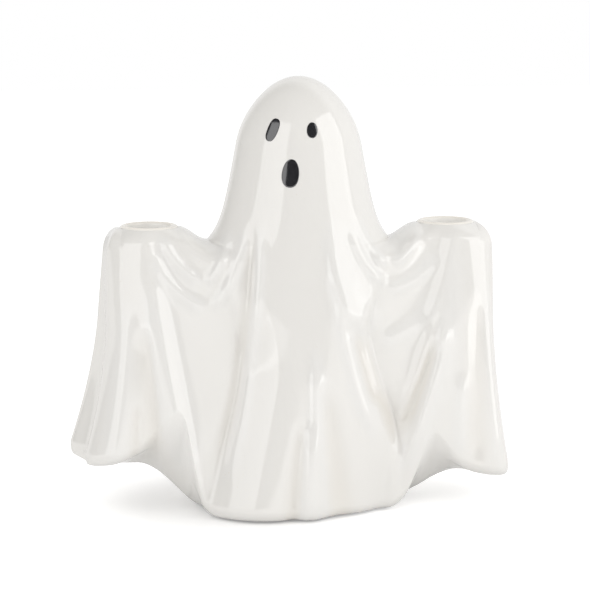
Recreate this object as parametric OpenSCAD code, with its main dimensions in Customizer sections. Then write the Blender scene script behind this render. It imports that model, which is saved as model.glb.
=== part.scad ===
// Ghost under a sheet, glazed earthenware, with a taper candle in each hand.
// The figure faces -Y, its arms lie along X and it stands on z = 0.
// A pair of values is for the left and the right, as the figure is seen from the front.
// The cloth is given as its depth from the parting line, which runs round the outline
// of the figure as it does on the two halves of a casting mould.

/* [Figure] */
// Height of the crown above the table
crown_h = 220; // [205:1:240]
// Height of the two candle rims above the table
hand_h = 146; // [142:1:152]
// Distance between the axes of the two candles
hand_spacing = 152; // [146:1:160]
// Distance of the head from the middle of the whole width, to the right
head_x = 5.5; // [0:0.5:8]
// Height of the saddles between head and hands
saddle_h = 138; // [130:1:140]
// Thickness of the cast wall
wall = 4; // [3.5:0.25:4.5]

/* [Head and torso] */
// Width of the head, where its flanks would reach the crown
brow_w = 51.2; // [46:0.2:56]
// Width of the neck at the saddles, before it flares
neck_w = 81; // [76:1:86]
// Width from saddle to saddle
saddle_w = 93; // [88:1:96]
// Width of the torso at the table
base_w = 110; // [104:1:116]
// Height of the rounded crown
dome_h = 33; // [26:1:40]
// Depth of the head from the parting line, where its face would reach the crown
face_d = 26; // [23:1:30]
// Depth of the torso from the parting line, at the table
base_d = 46; // [42:1:50]
// Height over which the neck flares out above a saddle
flare_run = 8; // [5:1:12]
// Distance by which the foot is turned out of line at the sides
turn_d = 9; // [0:0.5:12]

/* [Sleeves] */
// Reach of each sleeve from the middle, below the hand
sleeve_reach = [98.5, 99.3]; // [94:0.1:104]
// Extra reach of each sleeve at its hem
hem_reach = [13, 9]; // [4:0.5:14]
// Height of the closed underside at each sleeve's end
hem_h = [23.5, 14.5]; // [12:0.5:28]
// Half width of the flat foot
foot_half = 52; // [48:1:54]
// Distance from the middle at which each underside has risen to its full height
rise_half = 84; // [80:1:88]
// Place of the lifted part of each hem, from the middle
lift_x = [67, 68]; // [64:1:72]
// Height by which each hem is lifted there
lift_h = [35, 26]; // [10:1:40]
// Run of the lift towards the torso
lift_in = [10, 13]; // [8:1:14]
// Run of the lift towards the sleeve's end
lift_out = [13, 9]; // [7:1:15]
// Depth of a sleeve below the candle, from the parting line
sleeve_top_d = 19.5; // [19:0.5:23]
// Depth of a sleeve at its hem, from the parting line
sleeve_low_d = 30; // [26:0.5:34]
// Depth of the web between torso and sleeve, at its top
web_top_d = 12; // [10:0.5:13]
// Depth of the web at the hem
web_low_d = 26; // [22:0.5:27]
// Distance from the torso's middle within which the web is deeper
web_near = 20; // [16:1:24]
// Depth by which the web is deeper there
web_rise_d = 10; // [6:0.5:11]
// Run over which the web loses that depth
web_run = 38; // [32:1:42]
// Width over which a sleeve sinks into the web
sleeve_in = 17; // [14:1:22]
// Distance inwards from the candle at which a sleeve begins to turn towards its end
sleeve_round = 12; // [8:1:14]
// Height of the rounded shoulder at each sleeve's end
shoulder_h = 22; // [16:1:28]
// Height of the turned edge along the webs
arm_edge = 9; // [7:0.5:12]
// Height of the turned edge along the rims of the hands
hand_edge = 7; // [5:0.5:8]
// Radius of the turned edge along the hem
hem_edge = 6; // [4:0.5:7]
// Swelling of each sleeve's end at its hem, in front of the groove
lobe_front = [2.5, 1.5]; // [0:0.5:4]
// Swelling of each sleeve's end at its hem, behind the groove
lobe_back = [16, 2]; // [0:0.5:18]
// Half width of the groove in a sleeve's end
groove_w = 9; // [6:0.5:12]

/* [Folds] */
// Half width of a middling fold
fold_w = 4; // [3:0.25:5]
// Height of a middling fold
fold_h = 2.4; // [1:0.2:3]

/* [Candle cups] */
// Diameter of the hole for a taper candle
candle_d = 22.4; // [21.5:0.1:23]
// Depth of that hole
candle_depth = 22; // [16:1:26]
// Thickness of a cup's wall
cup_wall = 2.4; // [2:0.1:2.6]
// Height of the rounded lip above the hand
lip_h = 1; // [0.8:0.1:1.6]
// Width of the flat collar that a lip lies on
collar_w = 0.9; // [0.8:0.1:1.4]

/* [Face] */
// Width of the left eye, the right eye and the mouth
mark_w = [6.2, 5.8, 9]; // [4:0.2:10]
// Height of the left eye, the right eye and the mouth
mark_h = [12.6, 8.4, 14.8]; // [6:0.2:16]
// Place of each from the middle, along X
mark_x = [-16, 3, -8]; // [-20:0.5:20]
// Drop of each below the crown
mark_drop = [25, 25, 46]; // [20:0.5:50]
// Lean of each to the right, in degrees
mark_lean = [16, 6, 5]; // [0:1:20]
// Depth of the pocket for each
pocket_d = 1.2; // [0.8:0.1:1.6]
// Distance by which each lies below the skin
mark_sink = 0.3; // [0.2:0.05:0.5]

/* [Foot] */
// Thickness of a foot pad
pad_h = 1; // [0.8:0.1:2]
// Diameter of a foot pad
pad_d = 12; // [8:1:14]
// Distance between the left and right pads
pad_span_x = 64; // [50:1:70]
// Distance between the front and back pads
pad_span_y = 40; // [30:1:46]
// Diameter of the vent in the underside
vent_d = 14; // [8:1:18]

/* [Hidden] */

// Clearance between a cup and the hole it is set in, and round each mark of the face
fit = 0.3;
mark_fit = 0.15;
// Overrun of every cut
over = 2;
cup_r = candle_d / 2 + cup_wall;
seat_r = cup_r + fit;
collar_r = seat_r + collar_w;
collar_h = hand_h - lip_h;
hand_x = hand_spacing / 2;
cup_floor_h = hand_h - candle_depth;
// Smallest depth that counts as off the parting line
tiny = fit / 100;
// Height at which the sleeves begin to spread, and height below which the foot is turned
spread_share = 0.7;
spread_h = spread_share * saddle_h;
turn_h = spread_share * saddle_h;
// Share of the torso's bulge over which its sleeves come out of it
torso_share = 0.3;
sleeve_share = 0.6;
// Width of the torso's bulge at the foot and at its waist, as shares of the whole width,
// with the height of the waist and the run down to it as shares of the saddles' height
foot_share = [1, 0.95];
waist_share = [0.52, 0.47];
waist_h_share = [0.82, 0.72];
waist_low_share = 0.2;
waist_run_share = 0.32;
waist_power = 0.8;
// How much squarer than an ellipse the bulge is in between, and the share of that at the foot
square_power = 0.7;
square_foot_share = 0.5;
square_run = 0.4 * saddle_h;
square_fall = 0.3 * saddle_h;
// Inner edge of a sleeve, as shares of the distance of the candle, at the table and at the
// hand, and the same close below the hand
flank_share = [0.75, 0.52];
flank_rise_share = [0.33, 0.58];
hand_flank_share = 0.8;
hand_flank_rise_share = 2.1;
// How sharply torso, web and sleeve meet
meet_power = 6;
// How soon the lobes of a sleeve's end swell below the hand
lobe_power = 0.6;
// How late a sleeve spreads, how late its depth grows, and how steeply the underside rises
spread_power = 1.7;
low_power = 0.8;
rise_power = 1.4;
// How evenly the rows of the cloth are spaced, closer together towards the top
row_power = 1.5;
// Rise of an underside above which its edge is rolled, the run of that, and its roundness
roll_start = 12;
roll_run = 22;
roll_power = 1.4;
// Angles of the rows of an underside, and the angle up to which a foot is flat
under_turns = [15, 30, 50, 70];
flat_turn = 30;
// Steps of the outer and the inner skin along web, rim, shoulder and torso, up the
// cloth and up the head
outer_steps = [5, 12, 5, 30, 18, 11];
inner_steps = [3, 4, 3, 12, 8, 7];

// Folds, each as its start, a point that bends it, its end, its width and its height.
// Points are shares of hand_x and hand_h, widths of fold_w and heights of fold_h.
swag_shares = [
    [[-0.93, 0.98], [-0.89, 0.89], [-0.66, 0.81], 0.8, 0.9],
    [[-0.69, 0.82], [-0.53, 0.88], [-0.44, 1.03], 0.8, 0.8],
    [[-0.98, 0.93], [-0.90, 0.77], [-0.62, 0.72], 0.8, 0.8],
    [[-0.66, 0.72], [-0.47, 0.79], [-0.36, 1.04], 0.9, 0.6],
    [[0.34, 1.04], [0.40, 0.93], [0.56, 0.86], 0.7, 0.9],
    [[0.58, 0.86], [0.68, 0.90], [0.79, 1.01], 0.7, 0.7],
    [[0.29, 1.04], [0.34, 0.88], [0.56, 0.79], 0.7, 1.1],
    [[0.50, 0.79], [0.76, 0.77], [0.92, 0.92], 0.8, 0.5],
    [[0.20, 1.06], [0.20, 0.78], [0.43, 0.60], 1.4, 1.3],
    [[0.46, 0.60], [0.72, 0.60], [0.92, 0.78], 1.2, 0.4]];
drop_shares = [
    [[-1.03, 0.90], [-1.01, 0.64], [-0.78, 0.10], 1.4, 1.5],
    [[-1.05, 0.68], [-1.00, 0.50], [-0.98, 0.16], 0.7, -1.0],
    [[-1.11, 0.42], [-1.12, 0.30], [-1.14, 0.14], 0.6, -0.6],
    [[-1.17, 0.80], [-1.20, 0.45], [-1.30, 0.08], 1.1, 0.5],
    [[0.27, 0.76], [0.46, 0.44], [0.64, 0.20], 0.8, -1.0],
    [[0.19, 0.80], [0.24, 0.55], [0.48, 0.24], 0.9, 0.8],
    [[0.97, 0.82], [0.88, 0.50], [0.62, 0.12], 1.0, 1.3],
    [[0.90, 0.70], [0.80, 0.52], [0.60, 0.28], 0.8, -1.3],
    [[1.00, 1.00], [0.99, 0.60], [0.97, 0.12], 1.2, 0.6],
    [[1.14, 0.80], [1.12, 0.46], [1.14, 0.08], 1.2, -0.6],
    [[1.23, 0.85], [1.26, 0.45], [1.34, 0.08], 0.8, 0.5],
    [[1.05, 0.50], [1.04, 0.36], [1.03, 0.18], 0.8, 0.6]];
torso_shares = [
    [[-0.32, 1.08], [-0.36, 0.64], [-0.70, 0.10], 0.8, -1.2],
    [[-0.25, 0.98], [-0.29, 0.55], [-0.40, -0.20], 1.7, 0.6],
    [[-0.04, 0.36], [-0.08, 0.20], [-0.12, -0.20], 1.2, -1.4],
    [[0.05, 0.64], [0.03, 0.35], [0.01, -0.25], 1.0, 1.3],
    [[0.10, 0.50], [0.17, 0.22], [0.26, -0.25], 1.1, -0.9]];
back_turn_share = 0.85;

function mix(a, b, t) = a + (b - a) * t;
function clip(t) = min(max(t, 0), 1);
function ease(t) = let(u = clip(t)) u * u * (3 - 2 * u);
function quarter(t) = let(u = 1 - clip(t)) sqrt(1 - u * u);
function blend(a, b, p) = pow(pow(a, p) + pow(b, p), 1 / p);
function total(v) = len(v) == 0 ? 0 : v * [for (i = v) 1];
function of_side(x, pair) = x < 0 ? pair[0] : pair[1];

// Height of one fold at a point of the front view, from its distance to the fold's line
function fold_at(f, p) = let(chord = f[2] - f[0], t = clip((p - f[0]) * chord / (chord * chord)),
        on = (1 - t) * (1 - t) * f[0] + 2 * t * (1 - t) * f[1] + t * t * f[2],
        way = (1 - t) * (f[1] - f[0]) + t * (f[2] - f[1]),
        off = cross(p - on, way) / norm(way))
    f[4] * exp(-pow(off / f[3], 2)) * ease(4 * t) * ease(4 * (1 - t));
function fold_list(shares, mirrored) = [for (f = shares) concat(
    [for (i = [0:2]) [f[i][0] * hand_x * (mirrored ? -back_turn_share : 1), f[i][1] * hand_h]],
    [f[3] * fold_w, f[4] * fold_h])];
front_folds = fold_list(concat(swag_shares, drop_shares, torso_shares), false);
back_folds = fold_list(concat(drop_shares, torso_shares), true);

// Outline of the figure, t inside its skin
function torso_half(z, t) = (z < saddle_h
    ? mix(base_w, saddle_w, z / saddle_h) / 2
    : min(saddle_w, mix(neck_w, brow_w, (z - saddle_h) / (crown_h - saddle_h))
        + (saddle_w - neck_w) * exp((saddle_h - z) / flare_run)) / 2) - t;
function dome(z, t) = quarter((crown_h - t - z) / (dome_h - t));
function end_reach(x, z, t) = of_side(x, sleeve_reach) - t + of_side(x, hem_reach)
    * pow(clip((spread_h - z) / (spread_h - of_side(x, hem_h))), spread_power);
function top_edge(x, t) = mix(saddle_h, collar_h,
    ease((abs(x) - saddle_w / 2) / (hand_x - collar_r - saddle_w / 2))) - t;
function hem_under(x, t) = t + pad_h + (of_side(x, hem_h) - pad_h)
    * pow(sin(90 * clip((abs(x) - foot_half) / (rise_half - foot_half))), rise_power);
function hem_line(x, t) = let(d = abs(x) - of_side(x, lift_x), run = of_side(x, lift_in))
    hem_under(x, t) + of_side(x, lift_h) * ease((abs(x) - foot_half + run) / run)
    * (d < 0 ? exp(-pow(d / run, 2)) : 1 / (1 + pow(d / of_side(x, lift_out), 2)));

// Depth of the plain cloth from the parting line
function sleeve_depth(x, z, t) = let(a = abs(x), h = z / hand_h, start = hand_x - sleeve_round,
        end = sqrt(1 - pow(clip((a - start) / (end_reach(x, z, t) - start)), 2)),
        low = pow(clip(1 - h), low_power),
        flank = hand_x * min(of_side(x, flank_share) + of_side(x, flank_rise_share) * h,
            hand_flank_share + hand_flank_rise_share * (1 - h)),
        near = 1 - ease((a - web_near) / web_run),
        arm = (mix(sleeve_top_d, sleeve_low_d, low) - t) * (1 - ease((flank - a) / sleeve_in)) * end,
        web = (mix(web_top_d + web_rise_d * near, web_low_d, low) - t) * end)
    blend(arm, web, meet_power);
// The rim of a hand ends on the circle of its collar
function rim_depth(x, t) = t > 0 ? 0 : sqrt(max(0, collar_r * collar_r - pow(abs(x) - hand_x, 2)));
// The torso bulges, and its bulge narrows from the foot to the waist
function bulge_half(x, z, t) = let(h = z / saddle_h,
        left = mix(foot_share[0], waist_share[0], pow(clip(h / waist_h_share[0]), waist_power)),
        right = mix(foot_share[1], waist_share[1],
            ease((h - waist_low_share) / (waist_h_share[1] - waist_low_share))),
        share = mix(1, x < 0 ? left : right, ease((1 - h) / waist_run_share)))
    torso_half(z, t) * dome(z, t) * share;
function plain_depth(x, z, t) = let(s = clip(abs(x) / max(bulge_half(x, z, t), tiny)),
        square = mix(square_foot_share, 1, ease(z / square_run)),
        power = 2 + square_power * square * ease((saddle_h - z) / square_fall),
        torso = (mix(base_d, face_d, z / crown_h) - t) * dome(z, t) * pow(1 - pow(s, power), 1 / power),
        rise = top_edge(x, t) - z, rim = rim_depth(x, t), full = sleeve_depth(x, z, t),
        hand = rim + max(full - rim, 0) * (1 - pow(1 - clip(rise / hand_edge), 2)),
        web = full * quarter(rise / (arm_edge - t / 2)),
        sleeve = rise > 0 ? mix(web, hand, ease(2 * rim / collar_r)) : 0)
    blend(torso, sleeve * ease((s - torso_share) / sleeve_share), meet_power);
// Depth with its folds, of which the inside of the casting follows only a part
inner_fold_share = 0.5;
function depth(x, z, t, folds) = let(d = plain_depth(x, z, t))
    d + ease(d / (3 * fold_w)) * (t > 0 ? inner_fold_share : 1) * total([for (f = folds) fold_at(f, [x, z])]);

// A point of the skin, with the foot's turn and the lobes of the sleeves' ends
function turn(x, z) = turn_d * (2 * x / base_w) * exp(-pow(x / foot_half, 4)) * ease((turn_h - z) / turn_h);
function lobe(x, d, z, front) = sign(x) * of_side(x, front ? lobe_front : lobe_back)
    * ease((abs(x) - hand_x) / (end_reach(x, z, 0) - hand_x))
    * pow(clip((hand_h - z) / (hand_h - of_side(x, hem_h))), lobe_power) * (1 - exp(-pow(d / groove_w, 2)));
function place(p, t, front) = [
    p[0] + (t > 0 ? 0 : lobe(p[0], p[1], p[2], front)),
    turn(p[0], p[2]) + (front ? -p[1] : p[1]),
    p[2]];

// Half of a skin, as columns of [x, depth, z] that rise from the middle of the underside
// to the parting line. n counts the steps along web, rim, shoulder and torso, up the
// cloth and up the head.
function row_share(j, n) = 1 - pow(1 - j / n[4], row_power);
function arm_end(side, k, t, n) = let(
        reach = end_reach(side, collar_h, t), past_web = k - n[0], past_rim = past_web - n[1],
        web_x = mix(saddle_w / 2 - t, hand_x - collar_r, k / n[0]))
    past_web <= 0 ? [web_x, top_edge(web_x, t)]
    : past_rim <= 0 ? [hand_x - collar_r * cos(180 * past_web / n[1]), collar_h - t]
    : let(a = 90 * past_rim / n[2])
        [mix(hand_x + collar_r, reach, sin(a)), collar_h - t - shoulder_h * (1 - cos(a))];
function arm_line(side, k, t, n) = let(
        share = k / (n[0] + n[1] + n[2]),
        top = arm_end(side, k, t, n),
        foot_x = mix(base_w / 2 - t, end_reach(side, of_side(side, hem_h), t), share),
        foot_z = hem_line(side * foot_x, t) + hem_edge,
        inner = torso_half(top[1], t),
        top_share = (top[0] - inner) / (end_reach(side, top[1], t) - inner))
    [for (j = [0:n[4]]) let(v = row_share(j, n), z = mix(foot_z, top[1], v))
        [side * mix(torso_half(z, t), end_reach(side, z, t), mix(share, top_share, v)), z]];
function torso_line(k, t, n) = let(even = 2 * k / n[3] - 1, round_s = sin(90 * even),
        foot_z = hem_line(even * (base_w / 2 - t), t) + hem_edge)
    [for (j = [0:n[4]]) let(v = row_share(j, n), z = mix(foot_z, saddle_h - t, v))
        [mix(even, round_s, v) * torso_half(z, t), z]];
// The underside ends in a round edge, which is rolled where the hem is lifted
function column(line, t, at_end, on_arm, folds) = let(
        x = line[0][0], z = line[0][1], last = len(line) - 1,
        d = at_end ? 0 : depth(x, z, t, folds), r = min(hem_edge, d / 2), rz = at_end ? hem_edge : r,
        low = hem_under(x, t), soft = ease((z - low - roll_start) / roll_run))
    concat([[x, 0, low]],
        [for (u = under_turns) let(flat = min(1, u / flat_turn),
            a = 90 * max(0, u - flat_turn) / (90 - flat_turn),
            flat_d = (d - r) * flat + r * sin(a), flat_z = mix(low, z - rz, flat) + rz * (1 - cos(a)))
            [x, mix(flat_d, d * pow(sin(u), roll_power), soft),
                mix(flat_z, z - (z - low) * pow(cos(u), roll_power), soft)]],
        [for (j = [0:last]) let(p = line[j], rim = on_arm ? rim_depth(p[0], t) : 0,
            skin_d = on_arm && j == last ? rim : max(depth(p[0], p[1], t, folds), rim))
            [p[0], at_end ? 0 : skin_d, p[1]]]);
function half_skin(t, n, folds) = let(arm = n[0] + n[1] + n[2]) concat(
    [for (k = [arm:-1:1]) column(arm_line(-1, k, t, n), t, k == arm, true, folds)],
    [for (k = [0:n[3]]) column(torso_line(k, t, n), t, false, k == 0 || k == n[3], folds)],
    [for (k = [1:arm]) column(arm_line(1, k, t, n), t, k == arm, true, folds)]);
function half_head(t, n, folds) = [for (m = [1:n[5] - 1])
    let(z = mix(saddle_h - t, crown_h - t, sin(90 * m / n[5])))
    [for (k = [0:n[3]]) let(x = sin(180 * k / n[3] - 90) * torso_half(z, t) * dome(z, t))
        [x, k == 0 || k == n[3] ? 0 : depth(x, z, t, folds), z]]];

// Both halves joined along the parting line and along the middle of the underside
module skin(t, n) {
    arm = n[0] + n[1] + n[2];
    halves = [for (folds = [front_folds, back_folds]) half_skin(t, n, folds)];
    heads = [for (folds = [front_folds, back_folds]) half_head(t, n, folds)];
    last = len(halves[0]) - 1;
    top = len(halves[0][0]) - 1;
    size = (last + 1) * (top + 1);
    head_size = (n[3] + 1) * (n[5] - 1);
    crown = 2 * (size + head_size);
    function joined(i, j) = j == 0 || i == 0 || i == last || (j == top && halves[0][i][j][1] < tiny);
    function id(h, i, j) = (h == 1 && !joined(i, j) ? size : 0) + i * (top + 1) + j;
    function head_id(h, m, k) = m == 0 ? id(h, arm + k, top) : m == n[5] ? crown
        : 2 * size + (h == 1 && k > 0 && k < n[3] ? head_size : 0) + (m - 1) * (n[3] + 1) + k;
    // Two triangles, split so that neither lies wholly in the parting line
    function pair(h, a, b, c, d, rising) = let(f = rising ? [[a, b, c], [a, c, d]] : [[a, b, d], [b, c, d]])
        h == 0 ? f : [for (g = f) [g[0], g[2], g[1]]];
    points = concat(
        [for (h = [0, 1]) for (c = halves[h]) for (p = c) place(p, t, h == 0)],
        [for (h = [0, 1]) for (c = heads[h]) for (p = c) place(p, t, h == 0)],
        [for (x = [0, -hand_x, hand_x]) [x, 0, x == 0 ? crown_h - t : collar_h - t]]);
    cloth = [for (h = [0, 1]) for (i = [0:last - 1]) for (j = [0:top - 1])
        each pair(h, id(h, i, j), id(h, i, j + 1), id(h, i + 1, j + 1), id(h, i + 1, j),
            (2 * i < last) == (2 * j < top))];
    head = [for (h = [0, 1]) for (k = [0:n[3] - 1]) for (m = [0:n[5] - 1])
        each pair(h, head_id(h, m, k), head_id(h, m + 1, k), head_id(h, m + 1, k + 1), head_id(h, m, k + 1),
            true)];
    rims = [for (h = [0, 1]) for (s = [0, 1]) for (k = [0:n[1] - 1])
        let(i = s == 0 ? n[2] + k : last - n[2] - n[1] + k,
            f = [crown + 1 + s, id(h, i + 1, top), id(h, i, top)])
        h == 0 ? f : [f[0], f[2], f[1]]];
    polyhedron(points, [for (f = concat(cloth, head, t > 0 ? [] : rims))
        if (f[0] != f[1] && f[1] != f[2] && f[0] != f[2]) f]);
}

// Frame of one mark of the face: a point of the skin and the direction that it faces
function face_y(x, z, t) = -depth(x, z, t, front_folds);
function mark_point(i) =
    let(z = crown_h - mark_drop[i])
    [mark_x[i], face_y(mark_x[i], z, 0), z];
function mark_facing(i) = let(p = mark_point(i), e = fit,
        g = [face_y(p[0] - e, p[2], 0) - face_y(p[0] + e, p[2], 0), 2 * e,
             face_y(p[0], p[2] - e, 0) - face_y(p[0], p[2] + e, 0)])
    -g / norm(g);
// Points round the outline of a mark, and the shares of its size at which its rings lie
mark_steps = 24;
ring_shares = [1, 0.66, 0.33];
function mark_outline(i, grow) = [for (k = [0:mark_steps - 1]) let(a = 360 * k / mark_steps,
        u = (mark_w[i] / 2 + grow) * cos(a), v = (mark_h[i] / 2 + grow) * sin(a), l = -mark_lean[i])
    [u * cos(l) - v * sin(l), u * sin(l) + v * cos(l)]];
module at_mark(i) {
    n = mark_facing(i);
    translate(mark_point(i)) rotate([90 - asin(n[2]), 0, atan2(n[0], -n[1])]) children();
}
module pocket(i) {
    at_mark(i) translate([0, 0, -pocket_d]) linear_extrude(pocket_d + over)
        polygon(mark_outline(i, mark_fit));
}
// Distance of the sunk skin from the plane of a mark, along the direction that it faces
function mark_rise(i, uv) = let(n = mark_facing(i), across = [-n[1], n[0], 0] / norm([n[0], n[1]]),
        up = cross(across, -n), p = mark_point(i) + uv[0] * across + uv[1] * up,
        first = (p[1] - face_y(p[0], p[2], mark_sink)) / -n[1], q = p + first * n)
    first + (q[1] - face_y(q[0], q[2], mark_sink)) / -n[1];
module mark(i) {
    rings = [for (share = ring_shares) [for (p = mark_outline(i, 0)) let(q = p * share)
        [q[0], q[1], mark_rise(i, q)]]];
    back = [for (p = mark_outline(i, 0)) [p[0], p[1], -pocket_d]];
    points = concat(back, rings[0], rings[1], rings[2], [[0, 0, mark_rise(i, [0, 0])], [0, 0, -pocket_d]]);
    m = mark_steps;
    bands = [for (b = [0:2]) for (k = [0:m - 1]) let(a = b * m + k, c = b * m + (k + 1) % m)
        each [[a, a + m, c + m], [a, c + m, c]]];
    caps = [for (k = [0:m - 1]) let(next = (k + 1) % m)
        each [[3 * m + k, 4 * m, 3 * m + next], [k, next, 4 * m + 1]]];
    at_mark(i) polyhedron(points, concat(bands, caps));
}

// The whole figure is moved so that the middle of its width lies on x = 0
module placed() {
    translate([head_x, 0, 0]) children();
}

module ghost_body() {
    color("#f4f2ee") placed() difference() {
        skin(0, outer_steps);
        skin(wall, inner_steps);
        for (s = [-1, 1]) translate([s * hand_x, 0, cup_floor_h - cup_wall - fit])
            cylinder(r = seat_r, h = candle_depth + cup_wall + fit + over, $fn = 96);
        translate([0, 0, -over]) cylinder(d = vent_d, h = pad_h + wall + 2 * over, $fn = 64);
        for (i = [0:2]) pocket(i);
    }
}

// A cup hangs by its lip in the hole of the hand
module candle_cup(side) {
    bore_r = candle_d / 2;
    round_r = lip_h / 2 + fit;
    lip_r = lip_h / 2;
    placed() translate([side * hand_x, 0, 0]) rotate_extrude($fn = 96) polygon(concat(
        [[0, cup_floor_h - cup_wall], [cup_r, cup_floor_h - cup_wall]],
        [[cup_r, collar_h], [collar_r, collar_h]],
        [for (a = [0:15:90]) [collar_r - lip_r + lip_r * cos(a), hand_h - lip_r + lip_r * sin(a)]],
        [for (a = [90:15:180]) [bore_r + round_r + round_r * cos(a), hand_h - round_r + round_r * sin(a)]],
        [[bore_r, cup_floor_h], [0, cup_floor_h]]));
}
module left_candle_cup() { color("#f1eee8") candle_cup(-1); }
module right_candle_cup() { color("#f1eee8") candle_cup(1); }

module left_eye() { color("#1c1d1e") placed() mark(0); }
module right_eye() { color("#1c1d1e") placed() mark(1); }
module mouth() { color("#1c1d1e") placed() mark(2); }

module foot_pad(side, row) {
    x = side * pad_span_x / 2;
    placed() translate([x, turn(x, 0) + row * pad_span_y / 2, 0]) cylinder(d = pad_d, h = pad_h, $fn = 64);
}
module front_left_foot_pad() { color("#d9d6d0") foot_pad(-1, -1); }
module front_right_foot_pad() { color("#d9d6d0") foot_pad(1, -1); }
module back_left_foot_pad() { color("#d9d6d0") foot_pad(-1, 1); }
module back_right_foot_pad() { color("#d9d6d0") foot_pad(1, 1); }

ghost_body();
left_candle_cup();
right_candle_cup();
left_eye();
right_eye();
mouth();
front_left_foot_pad();
front_right_foot_pad();
back_left_foot_pad();
back_right_foot_pad();
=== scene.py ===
"""Ghost candle holder in glazed earthenware, dressed on its packed frame.

The draped sheet is a height field from the parting line, which runs round the outline
of the figure. All shape work is in millimetres and the meshes are in metres.
"""

import math
from typing import NamedTuple

import bpy
import numpy as np
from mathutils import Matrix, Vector


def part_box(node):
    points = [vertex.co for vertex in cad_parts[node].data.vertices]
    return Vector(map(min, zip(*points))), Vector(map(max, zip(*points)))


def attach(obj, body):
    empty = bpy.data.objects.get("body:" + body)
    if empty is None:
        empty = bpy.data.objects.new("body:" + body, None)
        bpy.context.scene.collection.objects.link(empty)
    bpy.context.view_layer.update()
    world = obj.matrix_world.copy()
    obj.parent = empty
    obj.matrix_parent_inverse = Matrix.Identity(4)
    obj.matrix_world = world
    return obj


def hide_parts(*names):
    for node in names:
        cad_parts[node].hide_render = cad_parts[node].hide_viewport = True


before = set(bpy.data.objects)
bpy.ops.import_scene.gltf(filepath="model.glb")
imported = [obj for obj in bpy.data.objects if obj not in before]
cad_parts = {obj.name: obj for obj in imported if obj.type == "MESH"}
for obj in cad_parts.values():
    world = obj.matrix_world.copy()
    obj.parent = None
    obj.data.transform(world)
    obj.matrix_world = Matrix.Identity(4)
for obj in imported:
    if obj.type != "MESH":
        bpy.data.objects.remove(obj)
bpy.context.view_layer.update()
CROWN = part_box("ghost_body")[1].z
LEFT_CUP, RIGHT_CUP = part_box("left_candle_cup"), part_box("right_candle_cup")
LEFT_AXIS, RIGHT_AXIS = [(cup[0].x + cup[1].x) / 2 for cup in (LEFT_CUP, RIGHT_CUP)]
LEFT_PAD, RIGHT_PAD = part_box("front_left_foot_pad"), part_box("front_right_foot_pad")
BACK_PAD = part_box("back_left_foot_pad")

bl_info = {
    "name": "Ghost Candle Holder",
    "version": (1, 0, 0),
    "blender": (4, 5, 0),
    "location": "View3D > Sidebar > Ghost",
    "description": "Draped ceramic ghost with a candle socket in each hand",
    "category": "Object",
}

MM = 0.001


# Sizes and colours


def length(name, text, value):
    return bpy.props.FloatProperty(
        name=name, description=text, default=value, subtype="DISTANCE", unit="LENGTH", precision=4
    )


def length_pair(name, text, value):
    return bpy.props.FloatVectorProperty(
        name=name, description=text + ", left and right", default=value, size=2,
        subtype="NONE", unit="LENGTH", precision=4,
    )


def colour(name, text, value):
    return bpy.props.FloatVectorProperty(
        name=name, description=text, default=value, size=3, subtype="COLOR", min=0.0, max=1.0
    )


class GhostFigure(bpy.types.PropertyGroup):
    """Sizes of the head, torso and hands"""

    crown_height: length("Crown height", "Height of the crown above the table", CROWN)
    hand_height: length("Hand height", "Height of the candle rims above the table", LEFT_CUP[1].z)
    hand_spacing: length(
        "Candle spacing", "Distance between the axes of the two candles", RIGHT_AXIS - LEFT_AXIS,
    )
    head_offset: length(
        "Head offset", "Distance of the head to the right of the middle of the width",
        (RIGHT_AXIS + LEFT_AXIS) / 2,
    )
    saddle_height: length("Saddle height", "Height of the saddles between head and hands", 0.138)
    saddle_width: length("Saddle width", "Width from saddle to saddle", 0.093)
    brow_width: length(
        "Brow width", "Width where the flanks of the head would reach the crown", 0.0512,
    )
    neck_width: length("Neck width", "Width of the neck at the saddles", 0.081)
    base_width: length("Foot width", "Width of the torso at the table", 0.110)
    dome_height: length("Dome height", "Height of the rounded crown", 0.033)
    face_depth: length("Face depth", "Depth of the head from the parting line", 0.026)
    base_depth: length(
        "Foot depth", "Depth of the torso at the table, from the parting line", 0.045,
    )
    turn_depth: length("Foot turn", "Distance by which the foot is turned out of line", 0.009)


class GhostSleeves(bpy.types.PropertyGroup):
    """Sizes of the two hanging sleeves"""

    reach: length_pair("Reach", "Reach of the sleeve from the head's middle", (0.0985, 0.0993))
    hem_reach: length_pair("Hem reach", "Extra reach at the hem", (0.013, 0.009))
    hem_height: length_pair("Hem height", "Height of the underside at the end", (0.0235, 0.0145))
    lift_place: length_pair("Lift place", "Place of the lifted part of the hem", (0.067, 0.068))
    lift_height: length_pair("Lift height", "Height by which the hem is lifted", (0.035, 0.026))
    top_depth: length("Depth below candle", "Depth of a sleeve below the candle", 0.0195)
    low_depth: length("Depth at hem", "Depth of a sleeve at its hem", 0.030)


class GhostFolds(bpy.types.PropertyGroup):
    """Sizes of the folds in the cloth"""

    width: length("Fold width", "Half width of a middling fold", 0.004)
    height: length("Fold height", "Height of a middling fold", 0.0024)
    mesh_steps: bpy.props.IntProperty(
        name="Cloth steps", description="Rows of the cloth between hem and hand",
        default=104, min=24, max=120,
    )


class GhostCups(bpy.types.PropertyGroup):
    """Sizes of the candle sockets and the foot pads"""

    candle_diameter: length("Candle diameter", "Diameter of the hole for a taper candle", 0.0224)
    candle_depth: length("Candle depth", "Depth of the hole", 0.022)
    wall: length("Cup wall", "Thickness of a cup's wall", 0.0024)
    pad_diameter: length(
        "Pad diameter", "Diameter of a foot pad", LEFT_PAD[1].x - LEFT_PAD[0].x,
    )
    pad_height: length("Pad height", "Thickness of a foot pad", LEFT_PAD[1].z - LEFT_PAD[0].z)
    vent_diameter: length("Vent diameter", "Diameter of the vent in the foot", 0.014)


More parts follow.
